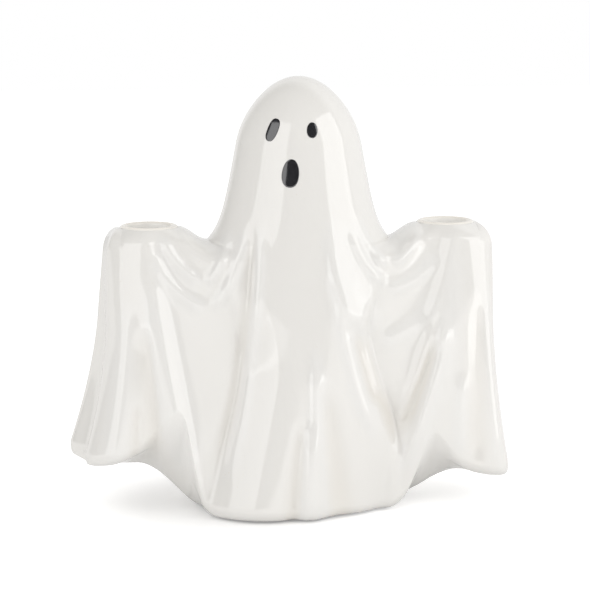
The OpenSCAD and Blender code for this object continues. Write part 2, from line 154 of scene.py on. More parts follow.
class GhostGlaze(bpy.types.PropertyGroup):
    """Colours of the glazes, the foot pads and the floor"""

    white: colour("White glaze", "Glaze where it lies at its usual thickness", (0.80, 0.79, 0.768))
    # This darker tone is painted shade, in the valleys of the folds and at the floor of the candle
    # bores; in the sockets it also gives faint random streaks.
    shaded_glaze: colour("Pooled glaze", "Glaze where it pools in the folds", (0.76, 0.735, 0.69))
    # The socket tone is the body's glaze painted lighter, as painted light in the candle bores.
    socket: colour("Socket glaze", "Glaze in the candle sockets", (0.95, 0.94, 0.915))
    rim: colour("Rim glaze", "Glaze where it thins over an edge", (0.82, 0.78, 0.71))
    black: colour("Black glaze", "Glaze of the eyes and the mouth", (0.010, 0.010, 0.012))
    rubber: colour("Pad rubber", "Rubber of the foot pads", (0.60, 0.58, 0.54))
    floor: colour("Floor", "Colour of the pale floor", (0.90, 0.90, 0.90))


# Folds and marks


class Fold(NamedTuple):
    """A fold of the cloth. Its line is given in shares of the candle's distance and of the
    hand's height, and its width and height at both ends in shares of the fold width and
    the fold height. A falling fold is broader on its right where the skew is positive, and
    a pleat is a step that is high on its right."""

    line: list
    widths: tuple
    heights: tuple
    skew: float = 0.0
    pleat: bool = False


# Swags hang below the hands, on the front only
SWAGS = [
    # Below the left hand
    Fold([(-0.93, 0.985), (-0.89, 0.89), (-0.66, 0.81)], (0.7, 0.8), (0.9, 0.9), -0.25),
    Fold([(-0.67, 0.81), (-0.56, 0.86), (-0.49, 1.00)], (0.6, 0.5), (0.8, 0.8), -0.2),
    Fold([(-0.98, 0.935), (-0.905, 0.77), (-0.62, 0.725)], (0.7, 0.9), (0.9, 0.7), -0.25),
    Fold([(-0.64, 0.725), (-0.48, 0.79), (-0.39, 1.02)], (0.7, 0.6), (0.7, 0.8), -0.2),
    # Below the right hand
    Fold([(0.34, 1.04), (0.40, 0.93), (0.56, 0.86)], (0.6, 0.6), (0.9, 0.9), -0.25),
    Fold([(0.58, 0.86), (0.68, 0.90), (0.79, 1.01)], (0.7, 0.7), (0.7, 0.7)),
    Fold([(0.29, 1.04), (0.34, 0.88), (0.56, 0.79)], (0.7, 0.7), (0.6, 1.1), -0.25),
    Fold([(0.50, 0.79), (0.76, 0.77), (0.92, 0.92)], (0.8, 0.8), (0.5, 0.5)),
    Fold([(0.15, 1.06), (0.18, 0.86), (0.27, 0.73), (0.43, 0.60)], (1.2, 1.9), (0.7, 1.5), 0.35),
    Fold([(0.46, 0.60), (0.72, 0.60), (0.92, 0.78)], (1.2, 1.2), (0.4, 0.4)),
]
# Drops fall to the hem, in front and, turned over, behind
DROPS = [
    # On the left sleeve
    Fold([(-1.01, 0.88), (-1.03, 0.60), (-0.76, 0.10)], (2.0, 1.9), (0.2, 0.9), 0.35),
    Fold([(-1.06, 0.68), (-1.00, 0.50), (-0.98, 0.16)], (0.8, 1.0), (-0.5, -0.9), -0.45),
    Fold([(-1.11, 0.42), (-1.12, 0.30), (-1.14, 0.14)], (0.5, 0.6), (-0.5, -0.7)),
    Fold([(-1.17, 0.80), (-1.20, 0.45), (-1.30, 0.08)], (1.0, 1.2), (0.4, 0.6)),
    # On the right sleeve
    Fold([(0.27, 0.76), (0.42, 0.46), (0.52, 0.38), (0.64, 0.20)], (0.7, 0.9), (-0.9, -1.1), 0.2),
    Fold([(0.19, 0.80), (0.24, 0.55), (0.48, 0.24)], (0.8, 1.0), (0.7, 0.9)),
    Fold([(0.95, 0.74), (0.88, 0.46), (0.62, 0.12)], (0.9, 1.0), (0.6, 1.5), 0.3),
    Fold([(0.89, 0.62), (0.80, 0.46), (0.62, 0.26)], (0.7, 0.8), (-1.1, -1.3)),
    Fold([(1.00, 1.00), (0.99, 0.60), (0.97, 0.12)], (1.3, 1.3), (0.35, 0.0)),
    Fold([(1.16, 0.80), (1.15, 0.46), (1.17, 0.08)], (1.0, 1.3), (-0.25, -0.6)),
    Fold([(1.23, 0.85), (1.26, 0.45), (1.34, 0.08)], (0.8, 0.9), (0.3, 0.6)),
    Fold([(1.05, 0.50), (1.04, 0.36), (1.03, 0.18)], (0.8, 0.9), (0.2, 0.4)),
    # On the torso
    Fold([(-0.32, 1.06), (-0.36, 0.77), (-0.45, 0.42), (-0.61, 0.10)], (0.7, 1.0), (0.55, 0.8),
         pleat=True),
    Fold([(-0.03, 0.36), (-0.05, 0.18), (-0.10, -0.20)], (0.7, 1.6), (0.5, 1.1), pleat=True),
    Fold([(0.04, 0.64), (0.04, 0.35), (0.04, -0.25)], (0.8, 1.3), (0.5, 1.1), 0.25),
    Fold([(0.10, 0.50), (0.17, 0.22), (0.28, -0.25)], (0.8, 2.2), (-0.5, -1.1)),
]
# Behind, the drops change sides and are drawn in to this share of their place
BACK_TURN = 0.85


class Mark(NamedTuple):
    """A mark of the face, in millimetres, and its lean in degrees."""

    place: float  # to the right of the head's middle
    drop: float  # of its middle below the crown
    width: float
    height: float
    lean: float
    narrow: float  # share by which it is narrower at the top
    square: float  # power of its outline, 2 for an oval


MARKS = {
    "left_eye": Mark(-16.0, 25.0, 6.2, 12.6, 16.0, 0.0, 2.5),
    "right_eye": Mark(3.0, 25.0, 5.8, 8.4, 6.0, 0.05, 2.1),
    "mouth": Mark(-8.0, 46.0, 9.0, 14.8, 5.0, 0.10, 2.2),
}


# Shape functions


def clip(t):
    return np.clip(t, 0.0, 1.0)


def ease(t):
    """A smooth step from 0 to 1."""
    t = clip(t)
    return t * t * (3.0 - 2.0 * t)


def quarter(t):
    """Height of a quarter circle, from its edge at 0 to its top at 1."""
    u = 1.0 - clip(t)
    return np.sqrt(np.maximum(0.0, 1.0 - u * u))


def mix(a, b, t):
    return a + (b - a) * t


def blend(a, b, power):
    """The larger of two depths, with a smooth passage where they meet."""
    return (np.maximum(a, 0.0) ** power + np.maximum(b, 0.0) ** power) ** (1.0 / power)


def side(x, pair):
    """The left or the right one of two values."""
    return np.where(x < 0.0, pair[0], pair[1])


def curve_through(points, steps=28, part_steps=12):
    """A quadratic curve on three points, or a smooth one through four or more."""
    p = np.array(points, float)
    t = np.linspace(0.0, 1.0, steps)[:, None]
    if len(p) == 3:
        return (1 - t) ** 2 * p[0] + 2 * t * (1 - t) * p[1] + t * t * p[2]
    q = np.vstack([2 * p[0] - p[1], p, 2 * p[-1] - p[-2]])
    out = []
    for k in range(len(p) - 1):
        a, b, c, d = q[k:k + 4]
        s = np.linspace(0.0, 1.0, part_steps, endpoint=k == len(p) - 2)[:, None]
        out.append(0.5 * (2 * b + (c - a) * s + (2 * a - 5 * b + 4 * c - d) * s ** 2
                          + (3 * b - a - 3 * c + d) * s ** 3))
    return np.vstack(out)


# A fold is flat beyond this many of its widths, and fades over this share of its length
FOLD_REACH = 3.0
FOLD_FADE = 0.25


def fold_height(x, z, fold):
    """Height of one fold over the points of the cloth."""
    line = curve_through(fold.line)
    out = np.zeros_like(x)
    room = FOLD_REACH * max(fold.widths)
    near = ((x > line[:, 0].min() - room) & (x < line[:, 0].max() + room)
            & (z > line[:, 1].min() - room) & (z < line[:, 1].max() + room))
    if not near.any():
        return out
    # The nearest place on the line, and on which side of it each point lies
    start, step = line[:-1], np.diff(line, axis=0)
    dx, dz = x[near][:, None] - start[:, 0], z[near][:, None] - start[:, 1]
    t = clip((dx * step[:, 0] + dz * step[:, 1]) / (step ** 2).sum(1))
    ex, ez = dx - t * step[:, 0], dz - t * step[:, 1]
    best = np.argmin(ex ** 2 + ez ** 2, axis=1)
    row = np.arange(len(best))
    way = step[best] / np.linalg.norm(step[best], axis=1)[:, None]
    off = ex[row, best] * way[:, 1] - ez[row, best] * way[:, 0]
    away = np.hypot(ex[row, best], ez[row, best])
    along = (best + t[row, best]) / len(step)
    width = mix(*fold.widths, along) * np.where(off < 0, 1 + fold.skew, 1 - fold.skew)
    crest = np.exp(-(away / width) ** 2)
    if fold.pleat:
        crest *= -np.sign(off) * away / width * math.sqrt(2 * math.e)
    fade = ease(along / FOLD_FADE) * ease((1.0 - along) / FOLD_FADE)
    out[near] = mix(*fold.heights, along) * crest * fade
    return out


# Points nearer to each other than this, in millimetres, are one
TINY = 0.003


class Cloth:
    """The sheet over the figure, in millimetres from the head's middle. Two values are
    those of the left and the right."""

    # Edges
    flare_run = 8.0  # height over which the neck flares out to the saddles
    shoulder_h = 22.0  # drop of the top edge from the hand to the sleeve's end
    arm_edge = 9.0  # height of the rounding at the top edge of an arm
    hem_edge = 6.0  # radius of the hem
    lip_drop = 1.0  # from the candle rims to the flat collars round them
    collar_r = 14.8  # radius of a collar
    lip_edge = 7.0  # height of the rounding below a collar

    # Sleeves
    top_power = 0.8  # how soon a sleeve deepens below the hand
    sleeve_in = 23.0  # width over which a sleeve rises from the web
    sleeve_round = (12.0, 4.0)  # from where the end is rounded to the candle's axis
    end_power = (2.4, 2.6)  # how square the end is at the hand
    end_power_low = (4.6, 6.0)  # and at the hem
    flank_low = (0.75, 0.54)  # place of the inner flank, as a share of the candle's distance
    flank_rise = (0.33, 0.50)  # and how far it moves outwards up to the hand
    lobe_front, lobe_back = (1.5, 0.0), (9.3, 0.0)  # by which the end's corners reach out
    lobe_power = 0.6
    groove = 9.0  # depth of the hollow between the corners

    # Webs between torso and sleeves
    web_top, web_low = 16.0, 26.0  # depth at the hand and at the table
    web_rise = 10.0  # extra depth beside the torso
    web_near, web_run = 26.0, 54.0  # where that starts to fade, and over which width
    web_start, web_grow = 0.3, 0.6  # shares of the torso's bulge at which the web joins it
    join_power = 6  # how tightly torso, webs and sleeves join

    # Torso
    foot = (1.0, 0.95)  # half width of the bulge at the foot, as a share of the torso's
    waist = (0.58, 0.66)  # the same at the waist
    waist_h = (0.82, 0.72)  # height of the waist, as a share of the saddles'
    waist_run = (0.5, 0.32)  # share of that height over which the bulge widens above it
    waist_power = 1.8  # how early the left flank draws in
    waist_start = 0.2  # share of the height at which the right flank starts to
    square = (0.8, 1.7)  # how much squarer than an oval the torso is
    square_foot, square_foot_back = (0.7, 0.1), (0.3, 0.1)  # share of it left at the foot
    square_rise, square_fade = 0.4, 0.3  # shares of the height over which it comes and goes

    # Hem and foot
    spread_share = 0.7  # of the saddles' height, up to which sleeves spread and the foot turns
    spread_power = 1.7
    foot_half, rise_half = 52.0, 84.0  # half widths where the hem leaves the table and is up
    hem_power = 1.4
    lift_in, lift_out = (10.0, 13.0), (13.0, 9.0)  # widths of the lift of the hem
    roll_from, roll_run = 12.0, 22.0  # lift at which the hem starts to roll under, and how soon
    roll_power = 1.4

    # Folds
    fold_depth = 12.0  # depth of the cloth at which folds have their full height
    fold_low, fold_rise = -1.0, 11.0  # height from which they grow, and over which they do

    # Casting
    wall = 4.0
    seat_gap = 0.3  # joint round a candle cup
    seat_edge = 0.4  # chamfer of a seat
    seat_bead = 0.05  # height of the seat's edge over the collar

    # Lines of the mesh
    row_power = 1.5  # how close the rows are at the top edge
    rim_share = 0.72  # share of a sleeve's lines that end on the web or the collar
    end_crowd = 2.6  # how close the lines are at the sleeve's end
    under_steps = 18  # rows from the middle of the underside to the hem

    def __init__(self, scene):
        for name in GhostFigure.__annotations__:
            setattr(self, name, getattr(scene.ghost_figure, name) / MM)
        for name in GhostSleeves.__annotations__:
            value = getattr(scene.ghost_sleeves, name)
            pair = hasattr(value, "__len__")
            setattr(self, name, [v / MM for v in value] if pair else value / MM)
        cups, folds = scene.ghost_cups, scene.ghost_folds
        self.hand_x = self.hand_spacing / 2
        self.collar_h = self.hand_height - self.lip_drop
        self.foot_z = cups.pad_height / MM
        self.vent_r = cups.vent_diameter / MM / 2
        self.seat_r = (cups.candle_diameter / 2 + cups.wall) / MM + self.seat_gap
        self.seat_floor = (self.hand_height - (cups.candle_depth + cups.wall) / MM
                           - self.seat_gap)
        self.spread_h = self.spread_share * self.saddle_height
        width, height = folds.width / MM, folds.height / MM
        self.front = [self.scaled(f, 1.0, width, height) for f in SWAGS + DROPS]
        self.back = [self.scaled(f, -BACK_TURN, width, height) for f in DROPS]
        rows = folds.mesh_steps
        self.steps = {
            "web": rows // 8, "rim": rows // 3, "shoulder": rows // 4,
            "torso": rows + rows // 6, "head": rows * 3 // 4,
        }
        self.row_shares = 1 - (1 - np.arange(rows + 1) / rows) ** self.row_power

    def scaled(self, fold, turn, width, height):
        """A fold in millimetres. A turn below zero takes it to the other side."""
        return Fold(
            [(x * self.hand_x * turn, z * self.hand_height) for x, z in fold.line],
            [w * width for w in fold.widths],
            [h * height * (turn if fold.pleat else 1.0) for h in fold.heights],
            fold.skew * turn, fold.pleat,
        )

    # Outline of the figure
    def torso_half(self, z):
        """Half width of the torso, the neck and the head below the dome."""
        low = mix(self.base_width, self.saddle_width, z / self.saddle_height) / 2
        run = self.crown_height - self.saddle_height
        high = mix(self.neck_width, self.brow_width, (z - self.saddle_height) / run)
        flare = (self.saddle_width - self.neck_width) * np.exp(
            np.minimum(0, self.saddle_height - z) / self.flare_run)
        high = np.minimum(self.saddle_width, high + flare) / 2
        return np.where(z < self.saddle_height, low, high)

    def dome(self, z):
        return quarter((self.crown_height - z) / self.dome_height)

    def end_reach(self, x, z):
        """Reach of a sleeve, which spreads towards its hem."""
        low = side(x, self.hem_height)
        spread = clip((self.spread_h - z) / (self.spread_h - low))
        return side(x, self.reach) + side(x, self.hem_reach) * spread ** self.spread_power

    def top_edge(self, x):
        """Height of the parting line between a saddle and a collar."""
        run = self.hand_x - self.collar_r - self.saddle_width / 2
        share = ease((np.abs(x) - self.saddle_width / 2) / run)
        return mix(self.saddle_height, self.collar_h, share)

    def hem_under(self, x):
        """Height of the underside at the parting line."""
        rise = clip((np.abs(x) - self.foot_half) / (self.rise_half - self.foot_half))
        rise = np.sin(rise * np.pi / 2) ** self.hem_power
        return self.foot_z + (side(x, self.hem_height) - self.foot_z) * rise

    def hem_line(self, x):
        """Height of the hem, which is lifted in front and behind."""
        d, run = np.abs(x) - side(x, self.lift_place), side(x, self.lift_in)
        bump = np.where(d < 0, np.exp(-(d / run) ** 2), 1 / (1 + (d / side(x, self.lift_out)) ** 2))
        return (self.hem_under(x) + side(x, self.lift_height)
                * ease((np.abs(x) - self.foot_half + run) / run) * bump)

    # Depth of the cloth from the parting line
    def sleeve_depth(self, x, z):
        """Depth of a sleeve and of the web beside it."""
        a, h = np.abs(x), z / self.hand_height
        start = self.hand_x - side(x, self.sleeve_round)
        low = clip(1 - h) ** self.top_power
        power = mix(side(x, self.end_power), side(x, self.end_power_low), low)
        end = (1 - clip((a - start) / (self.end_reach(x, z) - start)) ** power) ** (1 / power)
        flank = self.hand_x * (side(x, self.flank_low) + side(x, self.flank_rise) * h)
        sink = 1 - ease((flank - a) / self.sleeve_in)
        arm = mix(self.top_depth, self.low_depth, low) * sink * end
        near = 1 - ease((a - self.web_near) / self.web_run)
        web = mix(self.web_top + self.web_rise * near, self.web_low, low) * end
        return blend(arm, web, self.join_power)

    def rim(self, x):
        """Depth of a collar's edge."""
        return np.sqrt(np.maximum(0, self.collar_r ** 2 - (np.abs(x) - self.hand_x) ** 2))

    def bulge_half(self, x, z):
        """Half width of the torso's bulge, which narrows from the foot to the waist."""
        h = z / self.saddle_height
        draw = 1 - (1 - clip(h / self.waist_h[0])) ** self.waist_power
        left = mix(self.foot[0], self.waist[0], draw)
        draw = ease((h - self.waist_start) / (self.waist_h[1] - self.waist_start))
        right = mix(self.foot[1], self.waist[1], draw)
        widen = ease((1 - h) / side(x, self.waist_run))
        share = mix(1, np.where(x < 0, left, right), widen)
        return self.torso_half(z) * self.dome(z) * np.where(h < 1, share, 1)

    def plain_depth(self, x, z, front):
        """Depth of the cloth without its folds."""
        s = clip(np.abs(x) / np.maximum(self.bulge_half(x, z), TINY))
        h = z / self.saddle_height
        foot = side(x, self.square_foot if front else self.square_foot_back)
        square = side(x, self.square) * mix(foot, 1, ease(h / self.square_rise))
        power = 2 + square * ease((1 - h) / self.square_fade)
        torso = (mix(self.base_depth, self.face_depth, z / self.crown_height) * self.dome(z)
                 * (1 - s ** power) ** (1 / power))
        rise, rim, full = self.top_edge(x) - z, self.rim(x), self.sleeve_depth(x, z)
        lip = 1 - (1 - clip(rise / self.lip_edge)) ** 2
        hand = rim + np.maximum(full - rim, 0) * lip
        arm = full * quarter(rise / self.arm_edge)
        sleeve = np.where(rise > 0, mix(arm, hand, ease(2 * rim / self.collar_r)), 0)
        web = ease((s - self.web_start) / self.web_grow)
        return blend(torso, sleeve * web, self.join_power)

    def folds(self, x, z, front):
        total = np.zeros_like(x)
        for fold in self.front if front else self.back:
            total += fold_height(x, z, fold)
        return total

    def depth(self, x, z, front):
        d = self.plain_depth(x, z, front)
        grow = ease(d / self.fold_depth) * ease((z - self.fold_low) / self.fold_rise)
        return d + grow * self.folds(x, z, front)

    # A point of the skin
    def turn(self, x, z):
        """Distance behind the plane of the arms at which the parting line lies."""
        return (self.turn_depth * (2 * x / self.base_width) * np.exp(-(x / self.foot_half) ** 4)
                * ease((self.spread_h - z) / self.spread_h))

    def lobe(self, x, d, z, front):
        """Distance by which the corners of a sleeve's end reach beyond the parting line."""
        low = side(x, self.hem_height)
        return (np.sign(x) * side(x, self.lobe_front if front else self.lobe_back)
                * ease((np.abs(x) - self.hand_x) / (self.end_reach(x, z) - self.hand_x))
                * clip((self.hand_height - z) / (self.hand_height - low)) ** self.lobe_power
                * (1 - np.exp(-(d / self.groove) ** 2)))

    def place(self, x, d, z, front):
        y = self.turn(x, z) + np.where(front, -d, d)
        return np.stack([x + self.lobe(x, d, z, front), y, z], -1)

    # Lines of the cloth, from the hem to the top edge
    def arm_lines(self, sign):
        """Lines from a saddle over the web and round the collar to the sleeve's end."""
        n, v, way = self.steps, self.row_shares, np.float64(sign)
        low_reach = self.end_reach(way, side(way, self.hem_height))
        top_reach = self.end_reach(way, np.float64(self.collar_h))
        to_rim = n["web"] + n["rim"]
        out = []
        for k in range(to_rim + n["shoulder"] + 1):
            share = self.rim_share * k / to_rim
            if k <= n["web"]:
                top_x = mix(self.saddle_width / 2, self.hand_x - self.collar_r, k / n["web"])
                top_z = self.top_edge(np.float64(top_x))
            elif k <= to_rim:
                a = math.pi * (k - n["web"]) / n["rim"]
                top_x, top_z = self.hand_x - self.collar_r * math.cos(a), self.collar_h
            else:
                q = 1 - (1 - (k - to_rim) / n["shoulder"]) ** self.end_crowd
                top_x = mix(self.hand_x + self.collar_r, top_reach, q)
                top_z = self.collar_h - self.shoulder_h * (1 - math.cos(math.asin(q)))
                share = mix(self.rim_share, 1.0, q)
            foot_x = mix(self.base_width / 2, low_reach, share)
            foot_z = self.hem_line(way * foot_x) + self.hem_edge
            inner = self.torso_half(np.float64(top_z))
            outer = self.end_reach(way, np.float64(top_z))
            z = mix(foot_z, top_z, v)
            across = mix(share, (top_x - inner) / (outer - inner), v)
            reach = self.end_reach(way * np.ones_like(z), z)
            out.append((way * mix(self.torso_half(z), reach, across), z))
        return out

    def torso_lines(self):
        """Lines from one saddle to the other."""
        v, out = self.row_shares, []
        for k in range(self.steps["torso"] + 1):
            even = 2 * k / self.steps["torso"] - 1
            foot_z = self.hem_line(np.float64(even * self.base_width / 2)) + self.hem_edge
            z = mix(foot_z, self.saddle_height, v)
            out.append((mix(even, math.sin(math.pi / 2 * even), v) * self.torso_half(z), z))
        return out

    def lines(self):
        """All lines from left to right, and the number of those on one arm."""
        left, right = self.arm_lines(-1), self.arm_lines(1)
        return left[:0:-1] + self.torso_lines() + right[1:], len(left) - 1


# Meshes


class Mesh:
    """Collects points and faces, and makes a closed mesh of them. Each point may carry the
    height of the folds at its place, which the glaze reads."""

    def __init__(self):
        self.points, self.folds, self.faces, self.count = [], [], [], 0

    def add(self, points, folds=0.0):
        points = np.asarray(points, float).reshape(-1, 3)
        self.points.append(points)
        self.folds.append(np.broadcast_to(np.ravel(folds), len(points)))
        self.count += len(points)
        return np.arange(self.count - len(points), self.count)

    def at(self, ids):
        return np.concatenate(self.points)[ids]

    def quads(self, a, b, c, d):
        self.faces.extend(np.stack([np.ravel(v) for v in (a, b, c, d)], -1).tolist())

    def patch(self, grid, front):
        """Quads over a grid of lines and rows that faces the front or the back."""
        a, b, c, d = grid[:-1, :-1], grid[:-1, 1:], grid[1:, 1:], grid[1:, :-1]
        if front:
            self.quads(a, d, c, b)
        else:
            self.quads(a, b, c, d)

    def strip(self, first, second):
        """Quads between two closed loops of equal length."""
        self.quads(first, np.roll(first, -1), np.roll(second, -1), second)

    def ring(self, loop, points):
        """Adds a loop of points, joined to the one before it."""
        own = self.add(points)
        self.strip(loop, own)
        return own

    def fan(self, loop, centre):
        """Triangles from a closed loop to a point."""
        centre = self.add([centre])[0]
        for a, b in zip(loop, np.roll(loop, -1)):
            self.faces.append([int(a), int(b), int(centre)])

    def build(self, name, offset):
        """The mesh, moved along X, without unused points and faces without an area."""
        points = (np.concatenate(self.points) + np.array([offset, 0, 0])) * MM
        faces = [[v for k, v in enumerate(f) if v != f[k - 1]] for f in self.faces]
        faces = [f for f in faces if len(f) > 2]
        used = np.unique(np.concatenate(faces))
        new = np.full(len(points), -1)
        new[used] = np.arange(len(used))
        mesh = bpy.data.meshes.new(name)
        mesh.from_pydata(points[used].tolist(), [], [[int(new[v]) for v in f] for f in faces])
        mesh.validate()
        mesh.polygons.foreach_set("use_smooth", [True] * len(mesh.polygons))
        if signed_volume(mesh) < 0:
            mesh.flip_normals()
        folds = np.concatenate(self.folds)[used].astype(np.float32)
        if folds.any():
            mesh.attributes.new("fold_height", "FLOAT", "POINT").data.foreach_set("value", folds)
        mesh.update()
        return mesh


def signed_volume(mesh):
    """Volume of a closed mesh, below zero where it is inside out."""
    mesh.calc_loop_triangles()
    tri = np.empty(len(mesh.loop_triangles) * 3, np.int64)
    mesh.loop_triangles.foreach_get("vertices", tri)
    co = np.empty(len(mesh.vertices) * 3)
    mesh.vertices.foreach_get("co", co)
    p = co.reshape(-1, 3)[tri.reshape(-1, 3)]
    return float(np.einsum("ij,ij->i", p[:, 0], np.cross(p[:, 1], p[:, 2])).sum() / 6)


def new_piece(name, mesh, replaced):
    piece = bpy.data.objects.new(name, mesh)
    bpy.context.scene.collection.objects.link(piece)
    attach(piece, "root")
    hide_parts(*replaced)


# The body


def half_skin(cloth, lines, arm, front):
    """Rows of x, depth and z for every line, from the middle of the underside upwards."""
    x = np.array([line[0] for line in lines])
    z = np.array([line[1] for line in lines])
    index = np.arange(len(lines))
    on_arm = (index < arm) | (index >= len(lines) - arm)
    at_end = (index == 0) | (index == len(lines) - 1)
    d = cloth.depth(x, z, front)
    d[on_arm, -1] = cloth.rim(x[on_arm, -1])
    d[at_end] = 0.0
    foot_d, foot_x, foot_z = d[:, 0], x[:, 0], z[:, 0]
    low = cloth.hem_under(foot_x)
    r = np.minimum(cloth.hem_edge, foot_d / 2)
    rz = np.where(at_end, cloth.hem_edge, r)
    vent = np.sqrt(np.maximum(0, cloth.vent_r ** 2 - foot_x ** 2))
    start = np.where(np.abs(foot_x) < cloth.vent_r, vent, 0.0)
    soft = ease((foot_z - low - cloth.roll_from) / cloth.roll_run)
    rows_d, rows_z = [], []
    for u in np.arange(cloth.under_steps) / cloth.under_steps:
        # Flat to a rounded hem where the figure stands, and rolled where the hem is lifted
        a, flat = math.pi / 2 * clip(2 * u - 1), clip(2 * u)
        flat_d = mix(start, foot_d - r, flat) + r * math.sin(a)
        flat_z = mix(low, foot_z - rz, flat) + rz * (1 - math.cos(a))
        a = math.pi / 2 * u
        roll_d = foot_d * math.sin(a) ** cloth.roll_power
        roll_z = foot_z - (foot_z - low) * math.cos(a) ** cloth.roll_power
        rows_d.append(mix(flat_d, roll_d, soft))
        rows_z.append(mix(flat_z, roll_z, soft))
    x = np.concatenate([np.array([foot_x] * cloth.under_steps).T, x], 1)
    d = np.concatenate([np.array(rows_d).T, d], 1)
    z = np.concatenate([np.array(rows_z).T, z], 1)
    return x, d, z


def add_halves(cloth, skin, lines, arm):
    """Front and back of the cloth, which share the points of the parting line."""
    halves = []
    for front in (True, False):
        x, d, z = half_skin(cloth, lines, arm, front)
        own = skin.add(cloth.place(x, d, z, front), cloth.folds(x, z, front)).reshape(x.shape)
        if not front:
            joined = d < TINY
            joined[0] = joined[-1] = True
            own = np.where(joined, halves[0], own)
        halves.append(own)
        skin.patch(own, front)
    return halves


def add_head(cloth, skin, halves, arm):
    """Rings of the head, from the top edge of the torso to the crown."""
    torso, head = cloth.steps["torso"], cloth.steps["head"]
    crown = skin.add([[0, 0, cloth.crown_height]])
    share = np.sin(np.pi / 2 * np.arange(1, head) / head)
    z = mix(cloth.saddle_height, cloth.crown_height, share)
    across = np.sin(np.pi * np.arange(torso + 1) / torso - np.pi / 2)
    x = across * (cloth.torso_half(z) * cloth.dome(z))[:, None]
    z = z[:, None] * np.ones_like(x)
    for half, front in zip(halves, (True, False)):
        d = cloth.depth(x, z, front)
        d[:, [0, -1]] = 0
        own = skin.add(cloth.place(x, d, z, front), cloth.folds(x, z, front)).reshape(x.shape)
        if front:
            parting = own[:, [0, -1]]
        else:
            own[:, [0, -1]] = parting
        first = half[arm:arm + torso + 1, -1]
        grid = np.vstack([first, own, np.full(torso + 1, crown)])
        skin.patch(grid.T, front)


def loop_round(halves, first, last, row):
    """Points of one row, along the front from one line to another and back behind."""
    front, back = halves
    return np.concatenate([front[first:last + 1, row], back[first + 1:last, row][::-1]])


def add_seats(cloth, skin, halves):
    """Seats of the cups, down from the collar of each hand."""
    rim, shoulder = cloth.steps["rim"], cloth.steps["shoulder"]
    right_line = len(halves[0]) - 1 - shoulder - rim
    rings = (
        (cloth.seat_r + cloth.seat_edge, cloth.collar_h + cloth.seat_bead),
        (cloth.seat_r, cloth.collar_h - cloth.seat_edge),
        (cloth.seat_r, cloth.seat_floor),
    )
    for hand_x, line in ((-cloth.hand_x, shoulder), (cloth.hand_x, right_line)):
        loop = loop_round(halves, line, line + rim, -1)
        way = skin.at(loop)[:, :2] - (hand_x, 0)
        way /= np.linalg.norm(way, axis=1)[:, None]
        for radius, level in rings:
            points = np.column_stack([way * radius + (hand_x, 0), np.full(len(way), level)])
            loop = skin.ring(loop, points)
        skin.fan(loop, (hand_x, 0, cloth.seat_floor))


# The hollow: heights of the rounding at its lower end, with how narrow it is there, the
# first and the number of its plain rings, how far the last one and the top stay below the
# wall of the crown, and the share of the torso's depth that the folds leave free
HOLLOW_LOW = ((5.0, 0.94), (5.6, 1.0))
HOLLOW_FIRST, HOLLOW_RINGS = 8.0, 26
HOLLOW_TOP = (0.5, 0.2)
HOLLOW_DEPTH = 0.86


def add_hollow(cloth, skin, lines, halves):
    """Vent in the foot and the hollow behind it."""
    wall = cloth.wall
    foot = np.array([line[0][0] for line in lines])
    inside = np.where(np.abs(foot) < cloth.vent_r)[0]
    loop = loop_round(halves, inside[0] - 1, inside[-1] + 1, 0)[::-1]
    points = skin.at(loop) + (0, 0, wall)
    loop = skin.ring(loop, points)
    angle = np.arctan2(points[:, 1], points[:, 0])
    top = cloth.crown_height - wall - HOLLOW_TOP[0]
    plain = [(level, 1.0) for level in np.linspace(HOLLOW_FIRST, top, HOLLOW_RINGS)]
    for level, narrow in (*HOLLOW_LOW, *plain):
        level = np.float64(level)
        dome = cloth.dome(level + wall)
        half = cloth.torso_half(level) * dome - wall
        deep = mix(cloth.base_depth, cloth.face_depth, level / cloth.crown_height) * dome
        deep = deep * HOLLOW_DEPTH - wall
        x, y = half * narrow * np.cos(angle), deep * narrow * np.sin(angle)
        points = np.column_stack([x, y + cloth.turn(x, level), np.full(len(x), level)])
        loop = skin.ring(loop, points)
    skin.fan(loop, (0, 0, cloth.crown_height - wall - HOLLOW_TOP[1]))


def ghost_mesh(cloth):
    """The cast body as one closed skin."""
    lines, arm = cloth.lines()
    skin = Mesh()
    halves = add_halves(cloth, skin, lines, arm)
    add_head(cloth, skin, halves, arm)
    add_seats(cloth, skin, halves)
    add_hollow(cloth, skin, lines, halves)
    return skin.build("ghost_skin", cloth.head_offset)


# The marks of the face: steps of the mesh, the step for the slope of the face, the width of
# the rounded edge, its lowest and highest place over the face, how far the middle stands
# above that, and the depth of the back at its edge and in its middle
MARK_RINGS, MARK_SEGMENTS = 14, 72
FACE_STEP = 0.3
MARK_EDGE = 0.35
MARK_RISE = (-0.35, 0.14)
MARK_CROWN = 0.10
MARK_DEPTH = (0.8, 1.15)


def face_point(cloth, x, z):
    x, z = np.atleast_1d(x).astype(float), np.atleast_1d(z).astype(float)
    return cloth.place(x, cloth.depth(x, z, True), z, True)


def face_normal(cloth, x, z):
    across = face_point(cloth, x + FACE_STEP, z) - face_point(cloth, x - FACE_STEP, z)
    up = face_point(cloth, x, z + FACE_STEP) - face_point(cloth, x, z - FACE_STEP)
    normal = np.cross(across, up)
    return normal / np.linalg.norm(normal, axis=1)[:, None]


def rounded_power(t, power):
    return np.sign(t) * np.abs(t) ** power


